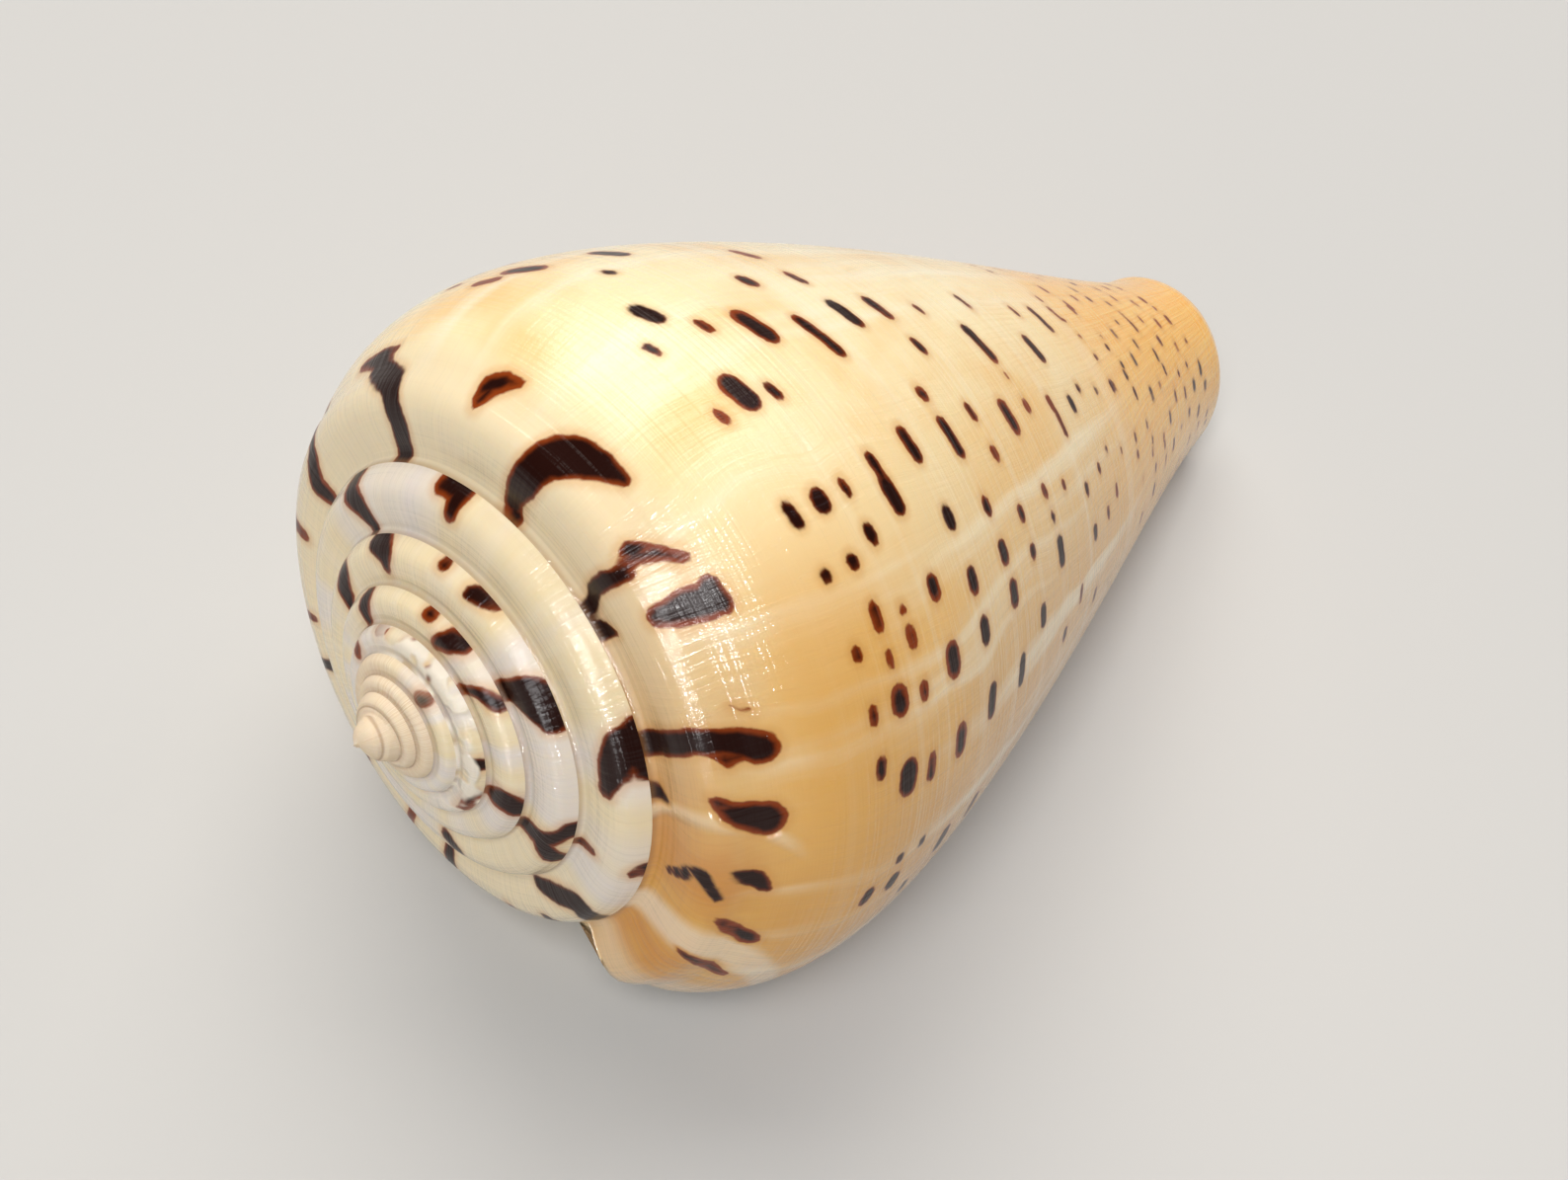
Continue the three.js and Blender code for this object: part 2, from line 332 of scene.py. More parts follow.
def lying(tree, shell):
    """The shell on its aperture side, with its worn spots flat on the ground under the middle of its box."""
    turned = add(tree, "GeometryNodeTransform", {},
                 {"Geometry": shell, "Rotation": (0, 0, math.radians(180 + REST_TURN))})
    leaned = add(tree, "GeometryNodeTransform", {},
                 {"Geometry": turned, "Rotation": (0, math.radians(REST_LEAN - 90), 0)})
    box = add(tree, "GeometryNodeBoundBox", {}, {"Geometry": leaned}).node
    low = box.outputs["Min"]
    high = box.outputs["Max"]
    middle = add(tree, "ShaderNodeVectorMath", {"operation": "ADD"}, (low, high))
    middle = add(tree, "ShaderNodeVectorMath", {"operation": "MULTIPLY"}, (middle, (-0.5, -0.5, 0)))
    lift = add(tree, "ShaderNodeVectorMath", {"operation": "MULTIPLY_ADD"}, (low, (0, 0, -1), middle))
    lift = add(tree, "ShaderNodeVectorMath", {"operation": "SUBTRACT"}, (lift, (0, 0, REST_FLAT)))
    moved = add(tree, "GeometryNodeTransform", {}, {"Geometry": leaned, "Translation": lift})
    position = add(tree, "GeometryNodeInputPosition")
    x, y, z = add(tree, "ShaderNodeSeparateXYZ", {}, (position,)).node.outputs
    height = add(tree, MATH, LARGER, (z, 0.0))
    above = add(tree, "ShaderNodeCombineXYZ", {}, (x, y, height))
    return add(tree, "GeometryNodeSetPosition", {}, {"Geometry": moved, "Position": above})


def cone_shell_tree(sizes, material):
    """The tree that grows the whorls, takes the aperture out of them and lays the shell down in metres."""
    tree = bpy.data.node_groups.new("cone shell", "GeometryNodeTree")
    tree.interface.new_socket("Geometry", in_out="INPUT", socket_type="NodeSocketGeometry")
    for name in sizes:
        tree.interface.new_socket(name, in_out="INPUT", socket_type="NodeSocketFloat")
    tree.interface.new_socket("Geometry", in_out="OUTPUT", socket_type="NodeSocketGeometry")
    size = {socket.name: socket for socket in add(tree, "NodeGroupInput").node.outputs}
    whorls = closed(tree, [spire_ramps(tree, size), last_whorl(tree, size)])
    hollow = closed(tree, [aperture_space(tree, size)])
    bored = add(tree, "GeometryNodeMeshBoolean", {"operation": "DIFFERENCE", "solver": "MANIFOLD"},
                {"Mesh 1": whorls, "Mesh 2": hollow})
    shell = add(tree, "GeometryNodeTransform", {}, {"Geometry": lying(tree, bored), "Scale": (MM, MM, MM)})
    smooth = add(tree, "GeometryNodeSetShadeSmooth", {}, {"Geometry": shell})
    real = add(tree, "GeometryNodeRealizeInstances", {}, {"Geometry": smooth})
    finished = add(tree, "GeometryNodeSetMaterial", {}, {"Geometry": real, "Material": material})
    add(tree, "NodeGroupOutput", {}, (finished,))
    return tree


def grown_mesh(tree, sizes, name):
    """The plain mesh that a Geometry Nodes tree makes with its sizes."""
    start = bpy.data.objects.new(name, bpy.data.meshes.new(name))
    bpy.context.scene.collection.objects.link(start)
    modifier = start.modifiers.new("growth", "NODES")
    modifier.node_group = tree
    for item in tree.interface.items_tree:
        if item.name in sizes:
            modifier[item.identifier] = sizes[item.name]
    seen = bpy.context.evaluated_depsgraph_get()
    mesh = bpy.data.meshes.new_from_object(start.evaluated_get(seen), depsgraph=seen)
    bpy.data.objects.remove(start)
    mesh.name = name
    return mesh


# The dark marks are pigment laid down in the shell: blots on the ramps and the shoulder, and dashes in
# spiral rows down the side. Each is read off the photograph in degrees of growth before the lip and in
# millimetres from the suture or shoulder (minus on the ramp), and the hidden side goes on by the same rule.
BLOTS = (
    ((-184, 0.9, 0.4), (-178, 0.9, 0.8), (-173, 1.4, 0.3)),
    ((-177, 0.3, 0.8), (-168, -1.2, 0.9), (-165, -3.9, 1.0), (-167, -6.4, 0.9)),
    ((-200, 0.5, 0.5), (-203, -2.5, 0.9), (-208, -4.0, 1.0), (-207, -5.6, 0.8)),
    ((-145, -1.0, 0.4), (-146, 0.1, 0.8), (-144, 0.7, 0.8), (-141, 1.2, 0.3)),
    ((-128, -6.5, 0.5), (-131, -5.6, 0.8), (-129, -3.2, 1.3), (-128, -1.1, 1.4), (-125, -0.1, 1.3),
     (-121, 0.6, 0.9), (-117, 1.0, 0.4)),
    ((-103, -6.8, 0.4), (-106, -5.0, 0.6), (-106, -3.2, 0.7), (-105, -1.6, 0.5)),
    ((-105, -1.6, 0.5), (-108, -0.9, 0.6), (-106, -0.2, 0.5), (-103, 1.3, 0.4)),
    ((-97, -1.3, 0.8), (-96.5, 0.0, 1.3), (-96, 1.2, 1.3), (-98, 1.7, 0.7), (-94.5, 1.9, 0.7)),
    ((-100, -7.0, 0.5), (-98, -6.4, 0.6), (-97, -5.5, 0.3)),
    ((-80, 0.1, 0.1), (-79, 0.9, 0.2)),
    ((-73, -6.6, 1.0), (-76, -2.5, 1.0), (-75, -0.7, 1.0), (-73, 1.0, 1.3)),
    ((-72, -0.7, 0.6), (-72, -0.5, 0.5)),
    ((-63, -7.2, 0.6), (-60, -6.3, 0.3)),
    ((-65, -1.9, 0.4), (-62, -0.6, 1.0), (-61, 0.6, 1.5)),
    ((-50, -0.6, 0.4), (-49, 0.1, 0.8), (-47, 0.8, 0.5)),
    ((-39, -1.3, 0.3), (-36, -0.3, 0.6), (-34, 0.8, 0.9)),
    ((-26, -2.4, 0.3), (-24, -0.8, 0.5), (-21, 0.4, 0.6), (-20, 1.2, 0.5)),
    ((-42, -5.8, 0.2), (-45, -4.5, 0.4), (-48, -3.8, 0.3), (-49, -2.8, 0.4), (-47, -2.5, 0.4),
     (-44, -1.6, 0.3)),
    ((-545, -0.2, 1.2), (-546, -1.3, 1.1), (-542, -2.5, 1.0), (-539, -4.4, 0.5)),
    ((-508, -0.2, 0.9), (-503, -0.1, 1.0), (-502, -1.8, 0.6)),
    ((-438, 0.0, 0.6), (-434, -0.8, 1.3), (-428, -2.0, 1.1), (-421, -2.8, 0.6)),
    ((-433, -0.7, 1.0), (-430, -0.1, 0.9), (-426, -0.1, 0.5)),
    ((-397, -0.4, 0.5), (-400, 0.0, 0.4)),
    ((-395, -5.0, 0.4), (-397, -3.7, 0.3)),
    ((-360, -4.6, 0.5), (-366, -3.8, 0.8), (-375, -2.4, 0.9), (-371, -0.4, 1.0)),
    ((-893, -0.2, 1.1), (-887, -1.2, 0.9), (-887, -2.3, 0.4)),
    ((-919, -1.2, 0.8), (-926, -2.2, 1.0), (-931, -3.2, 0.5)),
    ((-860, -0.3, 0.4), (-859, -0.4, 0.4)),
    ((-846, -0.6, 0.5), (-842, -0.3, 0.5), (-837, -0.1, 0.3)),
    ((-813, -3.2, 0.9), (-810, -1.5, 1.5), (-806, -0.7, 1.5), (-800, -0.4, 0.9)),
    ((-748, -3.6, 0.8), (-751, -2.1, 0.9), (-745, -0.7, 0.9)),
    ((-751, -1.9, 0.8), (-757, -0.8, 0.6), (-761, 0.0, 0.8)),
    ((-687, -2.5, 0.5), (-693, -1.6, 0.5)),
    ((-1261, -0.5, 0.7), (-1265, -1.2, 0.8), (-1267, -2.5, 0.4)),
    ((-1217, -0.3, 0.5), (-1215, -0.4, 0.4)),
    ((-1207, -1.8, 0.5), (-1201, -0.7, 0.9), (-1196, -0.2, 0.6)),
    ((-1181, -2.6, 0.4), (-1176, -1.1, 0.5), (-1168, -0.2, 0.5)),
    ((-1117, -2.1, 0.8), (-1121, -1.1, 1.1), (-1117, -0.2, 0.9)),
    ((-1610, -0.2, 0.5), (-1605, -0.3, 0.4)),
    ((-1645, -1.1, 0.4), (-1640, -0.8, 0.4)),
    ((-1558, -0.9, 0.6), (-1556, -0.5, 0.6)),
    ((-1909, -0.7, 0.6), (-1906, -0.4, 0.5)),
    ((-1498, -1.2, 0.4), (-1496, -0.2, 0.5)),
    ((-1473, -0.6, 0.5), (-1450, -0.4, 0.4)),
    ((-1582, -0.7, 0.4), (-1580, -0.4, 0.4)),
)
DASHES = {
    10: ((-166, 2.6, 1.2), (-131, 1.6, 0.8), (-117, 1.7, 0.8), (-101, 2.3, 0.9), (-92, 1.1, 0.9),
         (-81, 1.3, 1.0), (-72, 1.8, 0.9), (-64, 2.1, 1.0), (-40, 2.2, 1.2)),
    13: ((-163, 4.0, 1.8), (-137, 2.8, 1.4), (-119, 3.7, 2.2), (-101, 2.0, 1.7), (-92, 1.2, 1.2),
         (-84, 2.5, 1.1), (-78, 1.6, 0.8), (-72, 2.6, 2.0), (-60, 3.3, 2.2), (-45, 1.1, 1.0),
         (-40, 2.1, 1.4)),
    16: ((-150, 1.2, 0.9), (-131, 1.8, 1.0), (-117, 1.9, 1.0), (-101, 1.6, 0.9), (-94, 1.8, 1.1),
         (-83, 0.8, 0.8), (-79, 1.9, 1.2), (-71, 1.7, 1.1), (-59, 2.6, 1.1), (-45, 0.8, 0.8),
         (-34, 1.5, 0.9)),
    20.5: ((-158, 3.5, 1.6), (-128, 4.2, 2.0), (-102, 2.1, 1.1), (-97, 3.3, 1.6), (-83, 2.2, 1.6),
           (-72, 3.0, 2.0), (-59, 3.0, 1.7), (-39, 2.8, 1.6)),
    26: ((-138, 2.0, 1.4), (-123, 5.0, 1.3), (-102, 3.2, 1.4), (-90, 1.9, 1.4), (-80, 2.2, 1.5),
         (-72, 2.4, 1.4), (-60, 3.2, 1.4), (-38, 2.7, 1.5)),
    32: ((-148, 2.7, 1.0), (-137, 2.2, 0.9), (-126, 3.4, 1.4), (-108, 1.5, 1.2), (-100, 3.6, 1.3),
         (-88, 1.7, 1.2), (-80, 2.1, 1.5), (-73, 2.4, 1.5), (-59, 2.8, 1.1)),
    37: ((-126, 3.0, 1.2), (-116, 1.8, 1.0), (-102, 1.7, 0.9), (-94, 1.4, 1.0), (-83, 1.5, 1.1),
         (-76, 1.4, 1.0), (-64, 2.0, 1.2)),
    42.5: ((-124, 1.3, 0.6), (-98, 3.2, 1.5), (-83, 1.3, 1.0), (-78, 1.0, 0.8), (-71, 2.6, 1.3),
           (-53, 1.4, 0.9)),
    46.5: ((-113, 4.0, 1.2), (-98, 1.4, 0.9), (-105, 0.7, 0.5), (-81, 1.0, 0.7), (-57, 1.8, 0.7)),
    51: ((-124, 2.0, 0.6), (-96, 1.4, 0.9), (-91, 2.4, 0.7), (-76, 1.3, 0.8), (-66, 1.4, 1.0),
         (-50, 1.4, 0.7)),
    55: ((-108, 2.8, 1.1), (-93, 1.5, 0.8), (-77, 1.0, 0.6), (-66, 1.2, 0.7)),
    58: ((-119, 1.4, 0.5), (-95, 0.9, 0.7), (-79, 0.7, 0.5), (-68, 1.3, 0.7)),
    61.5: ((-115, 3.0, 0.7), (-92, 0.8, 0.5), (-75, 0.7, 0.5)),
    65.5: ((-116, 1.8, 0.5), (-90, 1.3, 0.8), (-69, 0.9, 0.6)),
    70.5: ((-118, 1.4, 0.5), (-104, 0.5, 0.4), (-93, 0.7, 0.4), (-67, 0.7, 0.4), (-57, 0.9, 0.5)),
    74: ((-92, 0.7, 0.4), (-80, 0.6, 0.4), (-59, 0.8, 0.5)),
}
FINE_ROWS = (66, 70, 74, 77, 80, 83, 86, 89)
PLAIN_DISTANCE = 4.0
MARK_REACH = 40.0
SEAM_SPAN = 90.0

# The part that shows, and the growth at which the rows have the heights given and dashes lie level
SEEN = (-170.0, -34.0)
ROWS_LEVEL_AT = -70.0
DASH_LEAN = -0.006
DASHES_LEVEL_AT = -85.0
LEAST_DASH = 0.05

# The side's radius is this share of the suture's at its top, less 1 for each so many millimetres down
SIDE_SHARE = 1.3
SIDE_FADE = 90.0

# What the hidden marks are drawn from. Places round the whorl, turns and spaces are in degrees of growth,
# sizes and the starts of blots in millimetres, and taper and plumpness are shares of a width or length.
HIDDEN_START = -356.0
BLOTS_END = -225.0
ROWS_END = -3.0
BLOT_WIDTHS = (0.5, 1.1)
BLOT_STARTS = (-6.0, -1.0)
BLOT_TURNS = (-3, 3)
BLOT_SPACES = (12, 24)
BLOT_FOOT = 0.8
BLOT_TAPER = 0.6
DASH_LENGTHS = (1.2, 3.6)
DASH_PLUMPNESS = (0.4, 0.6)
DASH_SPACES = (8, 20)
DASH_SHRINKING = 110.0
FINE_LENGTHS = (0.5, 1.3)
FINE_WIDTHS = (0.35, 0.6)
FINE_SPACES = (6, 18)


def row_height(row, growth):
    """Millimetres down the side of a spiral row, which was nearer the suture while the whorl was smaller."""
    return row * WHORL_GAIN ** ((growth - ROWS_LEVEL_AT) / 360)


def dash(row, growth, length, width):
    """A dash of a spiral row as a chain of two points with the dash's half width."""
    half_width = width / 2
    reach = max(length / 2 - half_width, LEAST_DASH)
    radius = SUTURE_RADIUS * (SIDE_SHARE - row / SIDE_FADE)
    rise = DASH_LEAN * (growth - DASHES_LEVEL_AT) * reach
    turn = math.degrees(reach / radius)
    middle = row_height(row, growth)
    return (growth - turn, middle - rise, half_width), (growth + turn, middle + rise, half_width)


def hidden_marks(random):
    """Blots and dashes for the side that the photograph doesn't show, like those that it shows."""
    marks = []
    growth = HIDDEN_START
    while growth < BLOTS_END:
        width = random.uniform(*BLOT_WIDTHS)
        start = random.uniform(*BLOT_STARTS)
        foot = (growth + random.uniform(*BLOT_TURNS), BLOT_FOOT, width)
        marks.append(((growth, start, width * BLOT_TAPER), foot))
        growth += random.uniform(*BLOT_SPACES)
    for row in DASHES:
        for first, last in ((HIDDEN_START, SEEN[0] - 2), (SEEN[1] + 6, ROWS_END)):
            growth = first + random.uniform(0, 10)
            while growth < last:
                length = random.uniform(*DASH_LENGTHS) * (1 - row / DASH_SHRINKING)
                marks.append(dash(row, growth, length, length * random.uniform(*DASH_PLUMPNESS)))
                growth += random.uniform(*DASH_SPACES)
    for row in FINE_ROWS:
        growth = HIDDEN_START + random.uniform(0, 8)
        while growth < ROWS_END:
            marks.append(dash(row, growth, random.uniform(*FINE_LENGTHS), random.uniform(*FINE_WIDTHS)))
            growth += random.uniform(*FINE_SPACES)
    return marks


def mark_distance(coil, marks):
    """Millimetres from each place to the edge of its nearest mark, minus inside it."""
    growth = coil[:, 0]
    across = coil[:, 1]
    outside = coil[:, 2] > 0
    degree = np.abs(coil[:, 2]) * math.pi / 180
    nearest = np.full(len(coil), PLAIN_DISTANCE)
    for chain in marks:
        for start, end in zip(chain[:-1], chain[1:]):
            low = min(start[0], end[0]) - MARK_REACH
            high = max(start[0], end[0]) + MARK_REACH
            near = np.nonzero((growth > low) & (growth < high) & outside)[0]
            x = (growth[near] - start[0]) * degree[near]
            y = across[near] - start[1]
            run = (end[0] - start[0]) * degree[near]
            rise = end[1] - start[1]
            along = np.clip((x * run + y * rise) / (run ** 2 + rise ** 2 + 1e-9), 0, 1)
            width = start[2] + (end[2] - start[2]) * along
            away = np.hypot(x - along * run, y - along * rise) - width
            nearest[near] = np.minimum(nearest[near], away)
    return nearest


def corner_vectors(mesh, name):
    """A corner attribute's vectors as rows of an array."""
    values = np.zeros(len(mesh.loops) * 3, np.float32)
    mesh.attributes[name].data.foreach_get("vector", values)
    return values.reshape(-1, 3).astype(float)


def face_spans(mesh, values):
    """For each corner, how far the values differ between the corners of its face."""
    starts = np.zeros(len(mesh.polygons), np.int32)
    mesh.polygons.foreach_get("loop_start", starts)
    counts = np.diff(np.append(starts, len(mesh.loops)))
    spans = np.maximum.reduceat(values, starts) - np.minimum.reduceat(values, starts)
    return np.repeat(spans, counts)


# The polished shell is aragonite under a thin glaze: it lights up from within like wax, and the glaze
# gives sharp glints that the growth lines and the spiral scratches break up.
COLOURS = {"data_type": "RGBA"}
SMOOTH = {"interpolation_type": "SMOOTHSTEP"}
MIX = "ShaderNodeMix"
RANGE = "ShaderNodeMapRange"
NOISE = "ShaderNodeTexNoise"

# The size of each pattern in millimetres, and how much a growth line or a spiral is drawn out along itself
GROWTH_BAND = 4.5455
GROWTH_LINE = 0.625
SPIRAL_BAND = 4.0
SPIRAL_SCRATCH = 0.45455
CLOUD = 11.1111
PATCH = 14.2857
LUMP = 1.8182
EDGE_WOBBLE = 1.1111
LINE_SWAY = 16.6667
SWAY_REACH = 6.0
LINE_STRETCH = 0.05
SPIRAL_STRETCH = 0.02
PATCH_STRETCH = 0.2
PATCH_SLICE = 7.0

# Where a tint starts and is full, and then its share at both. Growth is in degrees, and the rest in
# millimetres from the suture, from the edge of a mark or from the line, or in the height of the noise.
LIP_WARMTH = (-130.0, -30.0)
CLOUDED = (0.4, 0.72, 0.0, 0.6)
BANDED = (0.5, 0.72, 0.0, 0.75)
RINGED = (0.52, 0.75, 0.0, 0.5)
SHOULDER_TOP = (1.0, 6.0)
SHOULDER_FOOT = (19.0, 9.0)
SHOULDER_WARMTH = (-108.0, -82.0)
SHOULDER_SHARE = 0.6
TIP_LINES = (0.3, 0.7, 0.0, 0.6)
TIP = (50.0, 76.0)
RAMP_LINES = (0.3, 0.7)
RAMP_FINE_SHARE = 0.2
RAMP = (4.0, -2.0)
OLD_PATCHES = (0.42, 0.6)
OLD_BANDS = (0.4, 0.7, 0.0, 0.5)
OLDER = (-355.0, -362.0)
WOBBLE_REACH = 0.35
MARK_GLOW = (0.9, 0.0, 0.0, 0.4)
MARK_RIM = (0.16, -0.06)
MARK_CORE = (0.05, -0.45)
CORE_LEVEL = 0.52
CORE_REACH = 1.6
WORN = (-1880.0, -1990.0)
WORN_LINES = (0.35, 0.65)
WORN_SHARE = 0.92
# A dark line of painted shade along each suture on the ramps, and the width of the band by each suture
SUTURE_SHADE = (1.0, 0.1, 0.0, 0.45)
CREVICE_WIDTH = 0.045
LEAST_CREVICE = 0.02
WIDEST_CREVICE = 0.3
ERODED_FROM = (-1400.0, -1460.0)
ERODED_TO = (-1640.0, -1580.0)
LUMPY = (0.42, 0.56)
LAST_WHORL = -200.0
BEND = 5.0
BEND_SHARE = 0.2
SCAR_GROWTH = 59.5
SCAR_WIDTH = (2.6, 0.2)
SCAR_REACH = (4.0, 1.0)
SCAR_SHARE = 0.45
BAND_GROWTH = 29.0
BAND_WIDTH = (6.5, 2.0)
BAND_REACH = (14.0, 4.0)
BAND_SHARE = 0.55
LIP_GROWTH = (-15.0, -6.0)
LIP_REACH = (8.0, 0.0)
LIP_SHARE = 0.5
BESIDE_MARKS = (0.0, 0.6)
LEDGE = (0.0, 2.5, -4.0, 0.0)
ROUGHNESS = (0.0, 1.0, 0.3, 0.62)
GLAZE = (0.0, 1.0, 0.8, 0.0)
GLAZE_ON_MARKS = (-0.2, 0.3, 0.25, 1.0)
GLOW_FROM_WITHIN = (-0.3, 0.6, 0.0, 0.2)

# Heights of the relief beside the growth lines' own, and its depth in millimetres in the shell and the glaze
SCRATCH_HEIGHT = 0.3
BAND_HEIGHT = 1.5
LUMP_HEIGHT = 2.5
SCAR_HEIGHT = 2.5
GLAZE_SCRATCHES = 1.3
SHELL_DEPTH = 0.12
SHELL_STRENGTH = 0.4
GLAZE_DEPTH = 0.13
GLAZE_STRENGTH = 0.9


def linear(colour):
    """A linear colour from an sRGB hex value."""
    parts = [int(colour[at:at + 2], 16) / 255 for at in (1, 3, 5)]
    plain = [part / 12.92 if part <= 0.04045 else ((part + 0.055) / 1.055) ** 2.4 for part in parts]
    return (*plain, 1.0)


def shell_fields(tree):
    """Where each place lies on the coil, and the noise that the colours and the relief share."""
    coil = add(tree, "ShaderNodeAttribute", {"attribute_name": "coil"}).node.outputs["Vector"]
    mark = add(tree, "ShaderNodeAttribute", {"attribute_name": "mark"}).node.outputs["Fac"]
    growth, across, radius = add(tree, "ShaderNodeSeparateXYZ", {}, (coil,)).node.outputs
    place = add(tree, "ShaderNodeTexCoord").node.outputs["Object"]
    place = add(tree, "ShaderNodeVectorMath", {"operation": "SCALE"}, {"Vector": place, "Scale": 1 / MM})
    around = add(tree, MATH, TIMES, (growth, math.radians(SUTURE_RADIUS)))
    sway = add(tree, NOISE, {}, {"Vector": place, "Scale": 1 / LINE_SWAY})
    sway = add(tree, MATH, MINUS, (sway, 0.5))
    line = add(tree, MATH, TIMES_PLUS, (sway, SWAY_REACH, around))
    drawn_out = add(tree, MATH, TIMES, (across, LINE_STRETCH))
    lines = add(tree, "ShaderNodeCombineXYZ", {}, (line, drawn_out, 0.0))
    drawn_out = add(tree, MATH, TIMES, (around, SPIRAL_STRETCH))
    spirals = add(tree, "ShaderNodeCombineXYZ", {}, (drawn_out, across, 0.0))
    wobble = add(tree, NOISE, {}, {"Vector": place, "Scale": 1 / EDGE_WOBBLE, "Detail": 3.0})
    wobble = add(tree, MATH, MINUS, (wobble, 0.5))
    fine = {"Vector": lines, "Scale": 1 / GROWTH_LINE, "Detail": 3.0, "Roughness": 0.6}
    return {
        "growth": growth, "across": across, "radius": radius, "place": place, "line": line,
        "broad": add(tree, NOISE, {}, {"Vector": lines, "Scale": 1 / GROWTH_BAND, "Detail": 3.0}),
        "fine": add(tree, NOISE, {}, fine),
        "rings": add(tree, NOISE, {}, {"Vector": spirals, "Scale": 1 / SPIRAL_BAND, "Detail": 3.0}),
        "threads": add(tree, NOISE, {}, {"Vector": spirals, "Scale": 1 / SPIRAL_SCRATCH, "Detail": 2.0}),
        "clouds": add(tree, NOISE, {}, {"Vector": place, "Scale": 1 / CLOUD, "Detail": 3.0}),
        "edge": add(tree, MATH, TIMES_PLUS, (wobble, WOBBLE_REACH, mark)),
    }


def last_whorl_colour(tree, at, warm):
    """Cream, warmer towards the lip and the lower shoulder, with paler growth bands and spiral bands."""
    body = add(tree, MIX, COLOURS, (warm, linear("#F5E2B4"), linear("#D69A3E")))
    for pattern, strength, tint in (("clouds", CLOUDED, "#E9B25C"), ("broad", BANDED, "#F6EACB"),
                                    ("rings", RINGED, "#F3E7CB")):
        share = add(tree, RANGE, SMOOTH, (at[pattern], *strength))
        body = add(tree, MIX, COLOURS, (share, body, linear(tint)))
    band = add(tree, RANGE, SMOOTH, (at["across"], *SHOULDER_TOP))
    band = add(tree, MATH, TIMES, (band, add(tree, RANGE, SMOOTH, (at["across"], *SHOULDER_FOOT))))
    band = add(tree, MATH, TIMES, (band, add(tree, RANGE, SMOOTH, (at["growth"], *SHOULDER_WARMTH))))
    band = add(tree, MATH, TIMES, (band, SHOULDER_SHARE))
    body = add(tree, MIX, COLOURS, (band, body, linear("#DFA650")))
    tip_lines = add(tree, RANGE, SMOOTH, (at["fine"], *TIP_LINES))
    tip = add(tree, MIX, COLOURS, (tip_lines, linear("#F0AC44"), linear("#F7CC74")))
    return add(tree, MIX, COLOURS, (add(tree, RANGE, SMOOTH, (at["across"], *TIP)), body, tip))


def unmarked_colour(tree, at):
    """The last whorl's side, its ramp with fine streaks, and the whorls before it, greyer and in patches."""
    warm = add(tree, RANGE, SMOOTH, (at["growth"], *LIP_WARMTH))
    body = last_whorl_colour(tree, at, warm)
    streaks = add(tree, MATH, TIMES, (at["clouds"], 1 - RAMP_FINE_SHARE))
    streaks = add(tree, MATH, TIMES_PLUS, (at["fine"], RAMP_FINE_SHARE, streaks))
    streaks = add(tree, RANGE, SMOOTH, (streaks, *RAMP_LINES))
    lined = add(tree, MIX, COLOURS, (streaks, linear("#CB8420"), linear("#E0AC50")))
    ramp = add(tree, MIX, COLOURS, (warm, linear("#E8D6B2"), lined))
    body = add(tree, MIX, COLOURS, (add(tree, RANGE, SMOOTH, (at["across"], *RAMP)), body, ramp))
    drawn_out = add(tree, MATH, TIMES, (at["across"], PATCH_STRETCH))
    patches = add(tree, "ShaderNodeCombineXYZ", {}, (at["line"], drawn_out, PATCH_SLICE))
    patches = add(tree, NOISE, {}, {"Vector": patches, "Scale": 1 / PATCH, "Detail": 1.0})
    patches = add(tree, RANGE, SMOOTH, (patches, *OLD_PATCHES))
    older = add(tree, MIX, COLOURS, (patches, linear("#E8D5AE"), linear("#E0D5CA")))
    bands = add(tree, RANGE, SMOOTH, (at["broad"], *OLD_BANDS))
    older = add(tree, MIX, COLOURS, (bands, older, linear("#EADCC2")))
    return add(tree, MIX, COLOURS, (add(tree, RANGE, SMOOTH, (at["growth"], *OLDER)), body, older))


def marked_colour(tree, at, colour):
    """The marks: a warm glow round each, a red brown rim, and a core that is nearly black."""
    glow = add(tree, RANGE, SMOOTH, (at["edge"], *MARK_GLOW))
    colour = add(tree, MIX, COLOURS, (glow, colour, linear("#C98A3C")))
    rim = add(tree, RANGE, SMOOTH, (at["edge"], *MARK_RIM))
    colour = add(tree, MIX, COLOURS, (rim, colour, linear("#84360F")))
    depth = add(tree, MATH, MINUS, (at["clouds"], CORE_LEVEL))
    depth = add(tree, MATH, TIMES_PLUS, (depth, CORE_REACH, at["edge"]))
    core = add(tree, RANGE, SMOOTH, (depth, *MARK_CORE))
    return add(tree, MIX, COLOURS, (core, colour, linear("#220A05")))


